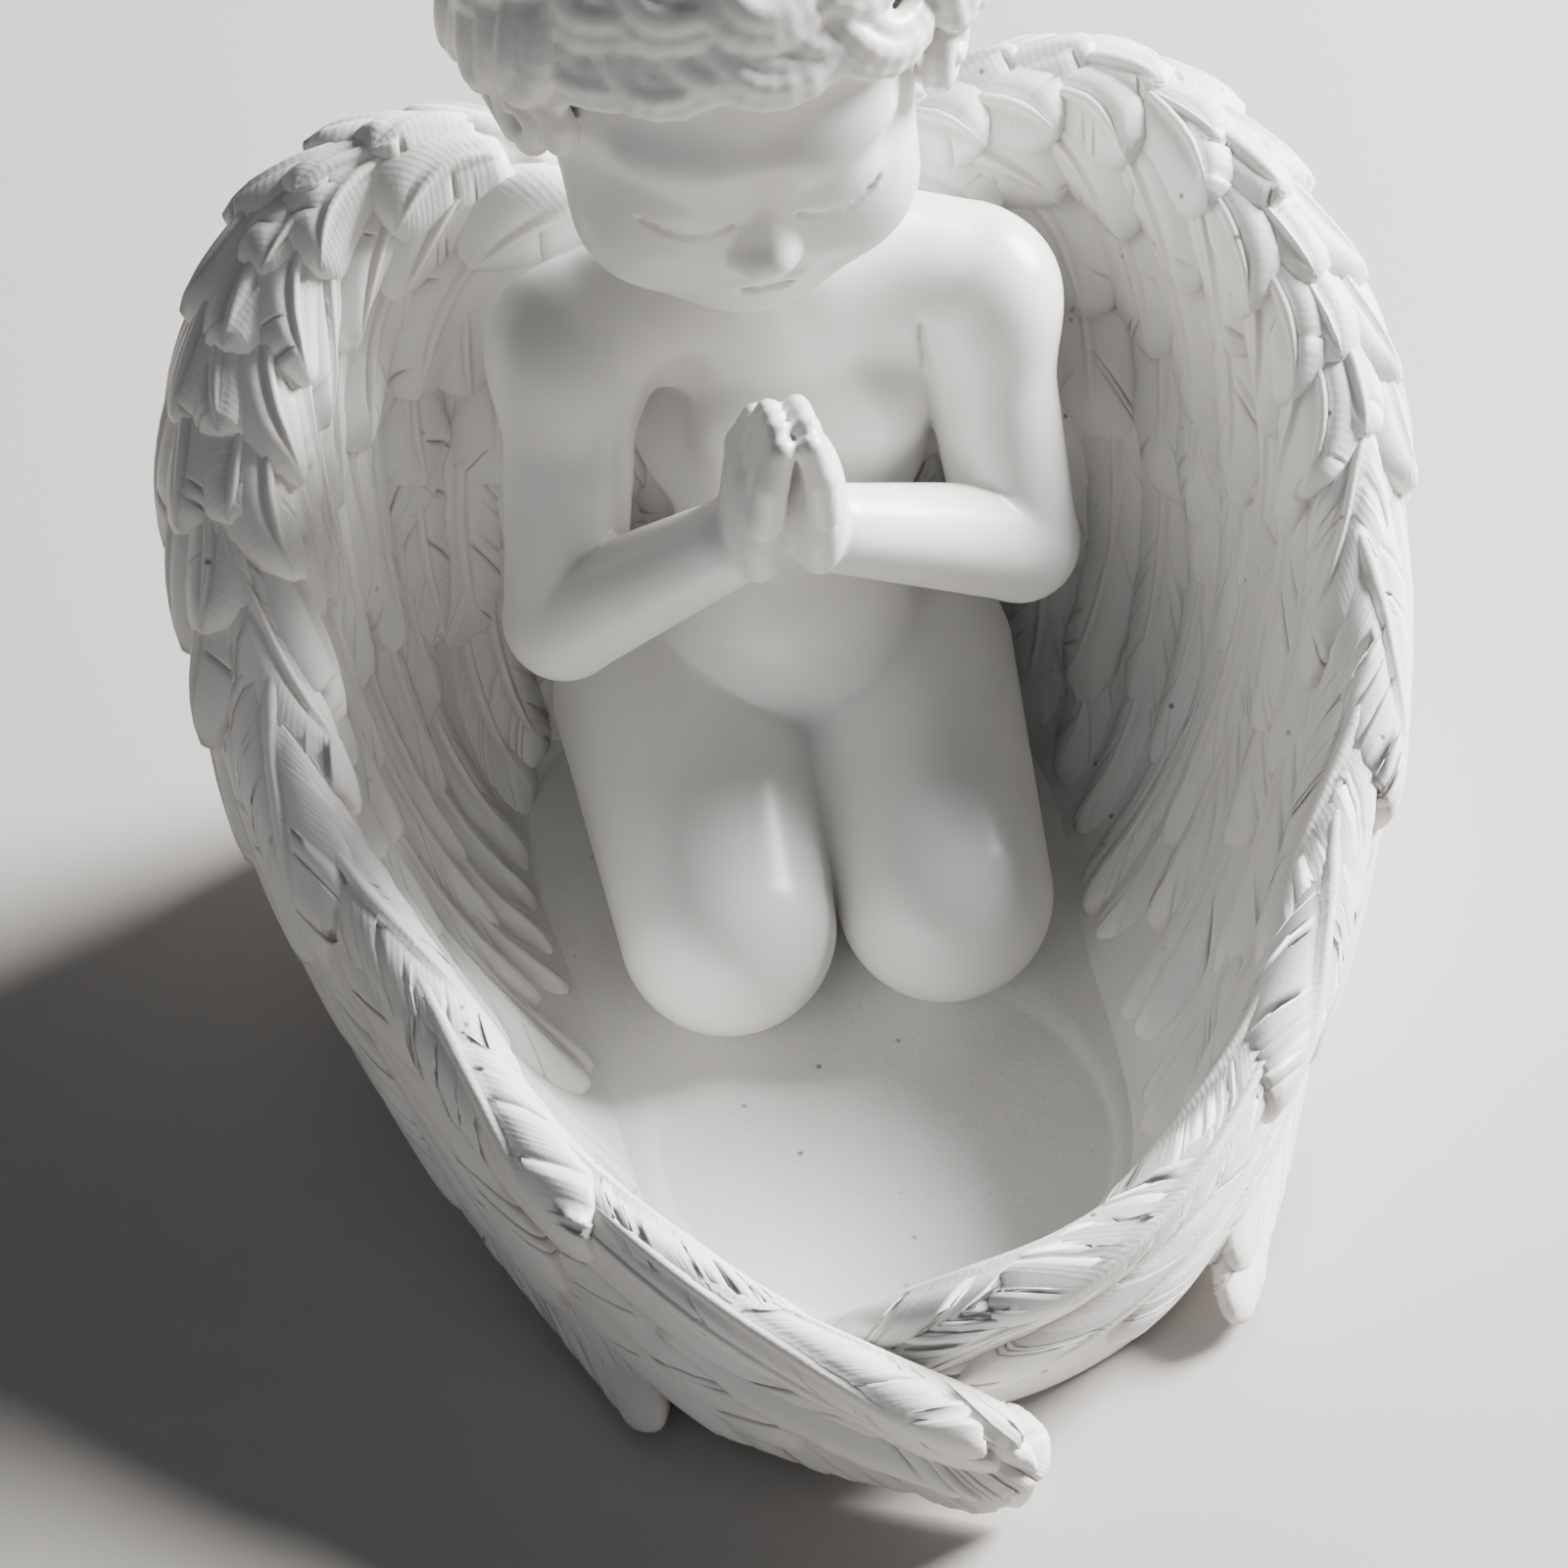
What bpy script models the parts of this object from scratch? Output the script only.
"""A cast resin angel figurine: a kneeling, praying cherub whose two wings sweep forward into a bowl
for a tealight. +Z is up, -Y is the front, and the origin is on the table under the middle of the bowl's
round floor. Lengths are millimetres in the tables below and metres in the scene."""

from math import cos, pi, radians, sin

import bmesh
import bpy
from mathutils import Matrix, Vector

MM = 0.001

# Driving dimensions
FLOOR_RADIUS = 25.0  # the tealight's round floor
FLOOR_Z = 8.0  # its height over the table
COVE_RISE = 14.0  # how far the dish climbs from the floor to the wings
COVE_SAG = 0.22  # how far the cove hangs under a straight slope, as a share of its rise
FLOOR_SHARE_X = 0.58  # the flat floor behind the tealight, as a share of the dish's width
FLOOR_SHARE_Y = 0.93  # and of its reach to the back
FELT_THICK = 1.2
FELT_SHARE = 0.88  # the felt sheet's outline, as a share of the dish's
GLUE_GAP = 0.3  # kept between neighbouring castings
WALL_HALF = 2.2  # half the wings' wall at the foot
MIDDLE_Y = 20.0  # the middle of the bowl from front to back; the wings turn their backs to it
BELLY_OUT = 0.62  # where a wing's wall curves most: its place on the way from the foot to the top
BELLY_UP = 0.30  # and its height, as a share of the wing's
ROLL_START = -0.2 * pi  # the rolled top's arc starts below the outer side
ROLL_SWEEP = 1.4 * pi
PALM_LEAN = -12.0  # degrees that the praying palms lean back

# How finely things are drawn
SPLINE_STEPS = 2  # sections made from each span between two stations
BLADE_POINTS = 10
WALL_POINTS = 5
ROLL_POINTS = 6
BALL_SEGMENTS = 20
BALL_RINGS = 12
LIMB_SEGMENTS = 18
SMOOTHING_ROUNDS = 4
WING_VOXEL = 1.0  # the grain each casting is fused at
BODY_VOXEL = 1.5
ARM_VOXEL = 1.1
WING_TRIANGLES = 1500  # about how many each casting keeps
BODY_TRIANGLES = 1300
HEAD_TRIANGLES = 700
ARM_TRIANGLES = 600
BLOCK_SIZE = 100.0  # of a hidden block that trims an arm

DISH_BOTTOM = FELT_THICK + GLUE_GAP

# The wings' stations from the root at the shoulder blade to the tip at the front. Each has the middle of
# the rolled top edge (x, y, z), that roll's radius, and the middle of the wall's foot (x, y).
LEFT_WING = [
    ((-9, 73, 80), 5.6, (-1.2, 77)),
    ((-21, 75.5, 87.5), 7.0, (-14, 78)),
    ((-36, 77.5, 88.5), 7.8, (-27, 76)),
    ((-49, 73.5, 85), 8.0, (-37, 69)),
    ((-57, 64, 78), 7.8, (-43, 58)),
    ((-61, 53, 69), 7.4, (-45.5, 46)),
    ((-61.5, 42, 59), 6.4, (-46.5, 35)),
    ((-60, 31, 49), 6.0, (-46.5, 24)),
    ((-55.5, 19, 41), 5.2, (-45, 13)),
    ((-49.8, 6, 34.5), 4.4, (-42, 2)),
    ((-42.5, -7, 29.5), 3.5, (-37.5, -9)),
    ((-34.5, -20, 26.5), 3.2, (-31, -19)),
    ((-25, -31, 24), 3.0, (-23, -28.5)),
    ((-11.5, -40.5, 20.5), 2.8, (-11.5, -37.5)),
    ((1, -46, 15), 2.6, (0, -43)),
    ((4.5, -47.2, 11.5), 2.0, (3.5, -45)),
]
RIGHT_WING = [
    ((9, 73, 80), 5.6, (1.2, 77)),
    ((22, 75, 87.5), 7.0, (14, 78)),
    ((38, 75.5, 88.5), 7.8, (27, 76)),
    ((48.5, 67.5, 85.5), 7.8, (37, 69)),
    ((55.5, 57.5, 79), 7.6, (43, 58)),
    ((60.5, 47.5, 69.5), 7.4, (45.5, 46)),
    ((61, 38, 60), 6.4, (46.5, 35)),
    ((59.3, 27, 51), 6.0, (46, 24)),
    ((54.5, 14, 43), 5.2, (44, 12)),
    ((48.8, 2, 37.5), 4.4, (40.5, 2)),
    ((41.5, -9, 33.5), 3.5, (36, -8)),
    ((33.5, -19.5, 30.5), 3.2, (29.5, -17)),
    ((24, -28, 28), 3.0, (21.5, -24.5)),
    ((12, -33.7, 26), 2.6, (11.5, -29.5)),
    ((0, -35.6, 24.5), 2.2, (1, -31.6)),
    ((-9, -34, 24), 1.8, (-8, -30.8)),
]
SHARED_STATIONS = 13  # of the left wing, up to where the right wing's foot takes over the dish's edge

# The blades of lower feathers outside the wings, whose tips come down close to the table:
# the middle of the blade (x, y, z), half its width and half its thickness.
LEFT_SPRAY = [
    ((-53.5, 27, 24), 4.0, 1.4),
    ((-50.3, 16, 18), 5.6, 1.8),
    ((-46.6, 5, 12.8), 5.8, 1.9),
    ((-42.0, -6, 9.4), 5.6, 1.9),
    ((-37.6, -16, 7.2), 5.0, 1.9),
    ((-34.2, -25, 5.4), 3.8, 1.8),
    ((-32.6, -30, 4.2), 2.2, 1.4),
]
RIGHT_SPRAY = [
    ((53.2, 20, 27), 4.0, 1.4),
    ((50.0, 9, 20), 5.6, 1.8),
    ((46.2, -1, 14), 5.8, 1.9),
    ((41.8, -10, 10), 5.6, 1.9),
    ((37.6, -18, 7.4), 5.0, 1.9),
    ((34.4, -25, 5.4), 3.8, 1.8),
    ((33.2, -29, 4.2), 2.2, 1.4),
]
FRONT_SPRAY = [
    ((-27, -31, 9.0), 4.4, 1.5),
    ((-18, -37, 7.6), 4.8, 1.8),
    ((-8.5, -41.5, 6.2), 4.4, 1.8),
    ((-1.5, -44.5, 4.8), 3.2, 1.7),
    ((1.5, -45.8, 4.0), 2.0, 1.3),
]

# The cherub: the middle of each soft form and its radii
TORSO_FORMS = [
    ((0, 58, 30), (22, 15, 18)),
    ((0, 50, 46), (18.5, 15, 17)),
    ((0, 55, 67), (18.5, 13, 18)),
    ((0, 57, 79), (19.5, 10.5, 10)),
    ((-1, 57, 86), (13, 9, 8)),
    ((-9.5, 64, 30), (12, 11, 13)),
    ((9.5, 64, 30), (12, 11, 13)),
]
HEAD_FORMS = [
    ((-5, 47, 113), (22, 19, 19)),
    ((-5, 54, 119), (29, 25, 23.5)),
    ((-5, 42, 104.5), (15, 9.5, 9)),
]
NECK = ((0, 54, 84), (-3, 50, 101), 9.5, 8.5)
THIGH = ((13, 53, 28), (12.6, 25, 17.5), 14.5, 12.2)
SHIN = ((12.5, 30, 17), (11, 63, 16.5), 8.5, 6.8)
FOOT = ((10.5, 67, 15.5), (6.2, 7.0, 5.8))
UPPER_ARM = ((21.5, 55, 79.5), (23.2, 42, 54), 9.8, 7.8)
LEFT_WRIST = (-9.6, 31.5, 73)
RIGHT_WRIST = (-0.4, 31.5, 73)
WRIST_RADIUS = 5.2
PALM_GAP_X = -5.0  # the plane between the palms
PALM = ((3.0, 29.5, 81), (3.2, 6.4, 11.2))  # its middle, measured sideways from that plane

CLAY = (0.87, 0.86, 0.84, 1.0)
FELT = (0.12, 0.12, 0.12, 1.0)


def mm(x, y, z):
    return Vector((x, y, z)) * MM


def clear_scene():
    for obj in list(bpy.data.objects):
        bpy.data.objects.remove(obj)


def new_collection(name):
    made = bpy.data.collections.new(name)
    bpy.context.scene.collection.children.link(made)
    return made


def new_material(name, colour, roughness):
    made = bpy.data.materials.new(name)
    made.use_nodes = True
    shader = made.node_tree.nodes["Principled BSDF"]
    shader.inputs["Base Color"].default_value = colour
    shader.inputs["Roughness"].default_value = roughness
    shader.inputs["Metallic"].default_value = 0.0
    return made


def object_from(name, bm, collection, material=None):
    """A new object that holds this bmesh, with its faces turned outwards."""
    bmesh.ops.recalc_face_normals(bm, faces=bm.faces)
    mesh = bpy.data.meshes.new(name)
    bm.to_mesh(mesh)
    bm.free()
    made = bpy.data.objects.new(name, mesh)
    collection.objects.link(made)
    if material:
        mesh.materials.append(material)
    return made


def settle(obj):
    """Replaces the object's mesh with what its modifiers make of it, and drops them."""
    graph = bpy.context.evaluated_depsgraph_get()
    graph.update()
    mesh = bpy.data.meshes.new_from_object(obj.evaluated_get(graph))
    obj.modifiers.clear()
    obj.data = mesh
    return obj


def add_ball(bm, centre, radii, lean=0.0):
    """An ellipsoid at centre, leaning over by some degrees about X."""
    matrix = Matrix.Translation(mm(*centre)) @ Matrix.Rotation(radians(lean), 4, "X")
    matrix = matrix @ Matrix.Diagonal((*mm(*radii), 1.0))
    bmesh.ops.create_uvsphere(bm, u_segments=BALL_SEGMENTS, v_segments=BALL_RINGS, radius=1.0, matrix=matrix)


def add_limb(bm, start, end, start_radius, end_radius):
    """A tapered limb with a ball at each end."""
    a, b = mm(*start), mm(*end)
    along = b - a
    turn = along.to_track_quat("Z", "Y").to_matrix().to_4x4()
    bmesh.ops.create_cone(
        bm,
        cap_ends=True,
        segments=LIMB_SEGMENTS,
        radius1=start_radius * MM,
        radius2=end_radius * MM,
        depth=along.length,
        matrix=Matrix.Translation((a + b) / 2) @ turn,
    )
    add_ball(bm, start, (start_radius,) * 3)
    add_ball(bm, end, (end_radius,) * 3)


def fuse(obj, voxel, triangles):
    """Fuses the overlapping shapes of a clay-like form into one skin, smooths it and thins its faces."""
    remesh = obj.modifiers.new("Fuse", "REMESH")
    remesh.mode = "VOXEL"
    remesh.voxel_size = voxel * MM
    smooth = obj.modifiers.new("Smooth", "SMOOTH")
    smooth.factor = 0.5
    smooth.iterations = SMOOTHING_ROUNDS
    settle(obj)
    thin = obj.modifiers.new("Thin", "DECIMATE")
    thin.ratio = triangles / (2 * len(obj.data.polygons))
    return settle(obj)


def grown(obj, by, cutters):
    """A hidden copy of the object, a little larger all round, to cut its neighbours with."""
    copy = bpy.data.objects.new(obj.name + "_clearance", obj.data.copy())
    cutters.objects.link(copy)
    copy.matrix_world = obj.matrix_world
    swell = copy.modifiers.new("Swell", "DISPLACE")
    swell.direction = "NORMAL"
    swell.mid_level = 0.0
    swell.strength = by * MM
    settle(copy)
    copy.hide_render = True
    copy.display_type = "WIRE"
    return copy


def boolean(obj, other, operation):
    step = obj.modifiers.new(operation.title(), "BOOLEAN")
    step.operation = operation
    step.object = other
    return settle(obj)


def spline(points, steps):
    """Points along a smooth Catmull-Rom curve through the given ones."""
    ends = [2 * points[0] - points[1], *points, 2 * points[-1] - points[-2]]
    made = []
    for before, a, b, after in zip(ends, ends[1:], ends[2:], ends[3:]):
        for step in range(steps):
            t = step / steps
            bend = 2 * before - 5 * a + 4 * b - after
            twist = 3 * a - before - 3 * b + after
            made.append((2 * a + (b - before) * t + bend * t**2 + twist * t**3) / 2)
    return [*made, points[-1].copy()]


def smooth_stations(stations):
    """The wing's stations as (roll's middle, roll's radius, wall's foot) at every section."""
    rows = [Vector((*top, radius, *foot)) for top, radius, foot in stations]
    return [
        (Vector(row[0:3]), row[3], Vector((row[4], row[5], FELT_THICK)))
        for row in spline(rows, SPLINE_STEPS)
    ]


def wing_section(top, radius, foot):
    """One closed section of a wing: up the outer face, round the rolled top, and down the inner face."""
    outward = Vector((top.x, top.y - MIDDLE_Y, 0)).normalized()
    belly = foot.lerp(top, BELLY_OUT)
    belly.z = foot.z + BELLY_UP * (top.z - foot.z)
    line = []
    for i in range(WALL_POINTS):
        t = i / WALL_POINTS
        line.append(foot * (1 - t) ** 2 + belly * 2 * t * (1 - t) + top * t**2)
    outer = [p + outward * WALL_HALF for p in line]
    inner = [p - outward * WALL_HALF for p in line]
    roll = []
    for i in range(ROLL_POINTS):
        angle = ROLL_START + ROLL_SWEEP * i / (ROLL_POINTS - 1)
        roll.append(top + (outward * cos(angle) + Vector((0, 0, sin(angle)))) * radius)
    return outer + roll + inner[::-1]


def add_loft(bm, sections):
    """Adds a closed skin through sections that have the same number of points."""
    rings = [[bm.verts.new(point * MM) for point in section] for section in sections]
    for ring, following in zip(rings, rings[1:]):
        for i in range(len(ring)):
            j = (i + 1) % len(ring)
            bm.faces.new((ring[i], ring[j], following[j], following[i]))
    bm.faces.new(rings[0])
    bm.faces.new(rings[-1])


def add_blade(bm, rows):
    """Adds a blade of lower feathers: flat ovals along a curve that hugs the wing's outer face."""
    samples = spline([Vector((*middle, wide, thick)) for middle, wide, thick in rows], SPLINE_STEPS)
    sections = []
    for i, row in enumerate(samples):
        here = Vector(row[0:3])
        before = Vector(samples[max(i - 1, 0)][0:3])
        after = Vector(samples[min(i + 1, len(samples) - 1)][0:3])
        along = (after - before).normalized()
        outward = Vector((here.x, here.y - MIDDLE_Y, 0)).normalized()
        outward = (outward - along * outward.dot(along)).normalized()
        across = along.cross(outward)
        ring = []
        for k in range(BLADE_POINTS):
            angle = 2 * pi * k / BLADE_POINTS
            ring.append(here + across * cos(angle) * row[3] + outward * sin(angle) * row[4])
        sections.append(ring)
    add_loft(bm, sections)


def make_wing(name, stations, blades, collection, material):
    """A wing's wall with its rolled top edge, and its blades of lower feathers."""
    wall = bmesh.new()
    add_loft(wall, [wing_section(*station) for station in smooth_stations(stations)])
    skins = [wall]
    for rows in blades:
        bm = bmesh.new()
        add_blade(bm, rows)
        skins.append(bm)
    wing = object_from(name, joined(skins), collection, material)
    return fuse(wing, WING_VOXEL, WING_TRIANGLES)


def joined(skins):
    """One bmesh with all these closed skins, each turned outwards."""
    whole = bmesh.new()
    for bm in skins:
        bmesh.ops.recalc_face_normals(bm, faces=bm.faces)
        mesh = bpy.data.meshes.new("skin")
        bm.to_mesh(mesh)
        bm.free()
        whole.from_mesh(mesh)
        bpy.data.meshes.remove(mesh)
    return whole


def dish_outline():
    """The dish's edge, inside the thickness of the wings' feet, as points that go round once."""
    left = [Vector((*foot, 0)) for _, _, foot in LEFT_WING[:SHARED_STATIONS]]
    right = [Vector((*foot, 0)) for _, _, foot in RIGHT_WING]
    return spline([*left, *reversed(right)], SPLINE_STEPS)


def floor_point(edge):
    """Where the flat floor ends, on the way in from this point of the dish's edge."""
    if edge.y < 0:
        return Vector((edge.x, edge.y, 0)).normalized() * FLOOR_RADIUS
    return Vector((edge.x * FLOOR_SHARE_X, edge.y * FLOOR_SHARE_Y, 0))


def make_dish(collection, material):
    """The bowl's bottom: a flat underside, an upright edge, a cove and the flat floor."""
    edge = dish_outline()
    low = [Vector((p.x, p.y, DISH_BOTTOM)) for p in edge]
    high = [Vector((p.x, p.y, FLOOR_Z + COVE_RISE)) for p in edge]
    floor = [floor_point(p) + Vector((0, 0, FLOOR_Z)) for p in edge]
    sag = Vector((0, 0, COVE_SAG * COVE_RISE))
    cove = [a.lerp(b, 0.5) - sag for a, b in zip(high, floor)]
    bm = bmesh.new()
    add_loft(bm, [low, high, cove, floor])
    bmesh.ops.triangulate(bm, faces=[f for f in bm.faces if len(f.verts) > 4])
    return object_from("dish_base", bm, collection, material)


def make_felt(collection, material):
    """The felt sheet under the dish."""
    middle = Vector((0, MIDDLE_Y, 0))
    sheet = [middle.lerp(p, FELT_SHARE) for p in dish_outline()]
    top = [p + Vector((0, 0, FELT_THICK)) for p in sheet]
    bm = bmesh.new()
    add_loft(bm, [sheet, top])
    bmesh.ops.triangulate(bm, faces=[f for f in bm.faces if len(f.verts) > 4])
    return object_from("felt_sheet", bm, collection, material)


def make_body(collection, material):
    bm = bmesh.new()
    for middle, radii in TORSO_FORMS:
        add_ball(bm, middle, radii)
    add_limb(bm, *NECK)
    for side in (-1, 1):
        for start, end, start_radius, end_radius in (THIGH, SHIN):
            mirrored = [(side * x, y, z) for x, y, z in (start, end)]
            add_limb(bm, *mirrored, start_radius, end_radius)
        (x, y, z), radii = FOOT
        add_ball(bm, (side * x, y, z), radii)
    body = object_from("cherub_body", bm, collection, material)
    return fuse(body, BODY_VOXEL, BODY_TRIANGLES)


def make_head(collection, material):
    bm = bmesh.new()
    for middle, radii in HEAD_FORMS:
        add_ball(bm, middle, radii)
    head = object_from("cherub_head", bm, collection, material)
    return fuse(head, BODY_VOXEL, HEAD_TRIANGLES)


def make_arm(name, side, wrist, collection, cutters, material):
    """An arm from shoulder to fingertips, pressed up to the plane between the palms."""
    bm = bmesh.new()
    start, end, top_radius, elbow_radius = UPPER_ARM
    shoulder, elbow = [(side * x, y, z) for x, y, z in (start, end)]
    add_limb(bm, shoulder, elbow, top_radius, elbow_radius)
    add_limb(bm, elbow, wrist, elbow_radius, WRIST_RADIUS)
    (x, y, z), radii = PALM
    add_ball(bm, (PALM_GAP_X + side * x, y, z), radii, lean=PALM_LEAN)
    arm = fuse(object_from(name, bm, collection, material), ARM_VOXEL, ARM_TRIANGLES)
    return boolean(arm, far_side(name, side, cutters), "DIFFERENCE")


def far_side(name, side, cutters):
    """A hidden block on the other side of the plane between the palms."""
    bm = bmesh.new()
    away = side * (BLOCK_SIZE - GLUE_GAP) / 2
    middle = mm(PALM_GAP_X - away, *PALM[0][1:])
    bmesh.ops.create_cube(bm, size=BLOCK_SIZE * MM, matrix=Matrix.Translation(middle))
    block = object_from(name + "_far_side", bm, cutters)
    block.hide_render = True
    block.display_type = "WIRE"
    return block


def fit_together(parts, cutters):
    """Cuts each casting back from the one it is glued to, so that a glue line is left between them."""
    pairs = (
        ("dish_base", "left_wing"),
        ("dish_base", "right_wing"),
        ("cherub_body", "dish_base"),
        ("cherub_body", "left_wing"),
        ("cherub_body", "right_wing"),
        ("cherub_head", "cherub_body"),
        ("left_arm", "cherub_body"),
        ("right_arm", "cherub_body"),
    )
    for cut, against in pairs:
        boolean(parts[cut], grown(parts[against], GLUE_GAP, cutters), "DIFFERENCE")


def main():
    clear_scene()
    castings = new_collection("parts")
    cutters = new_collection("cutters")
    resin = new_material("cast_resin", CLAY, 0.5)
    felt = new_material("felt", FELT, 0.95)

    parts = {
        "left_wing": make_wing("left_wing", LEFT_WING, (LEFT_SPRAY, FRONT_SPRAY), castings, resin),
        "right_wing": make_wing("right_wing", RIGHT_WING, (RIGHT_SPRAY,), castings, resin),
        "dish_base": make_dish(castings, resin),
        "felt_sheet": make_felt(castings, felt),
        "cherub_body": make_body(castings, resin),
        "cherub_head": make_head(castings, resin),
        "left_arm": make_arm("left_arm", -1, LEFT_WRIST, castings, cutters, resin),
        "right_arm": make_arm("right_arm", 1, RIGHT_WRIST, castings, cutters, resin),
    }
    fit_together(parts, cutters)


main()
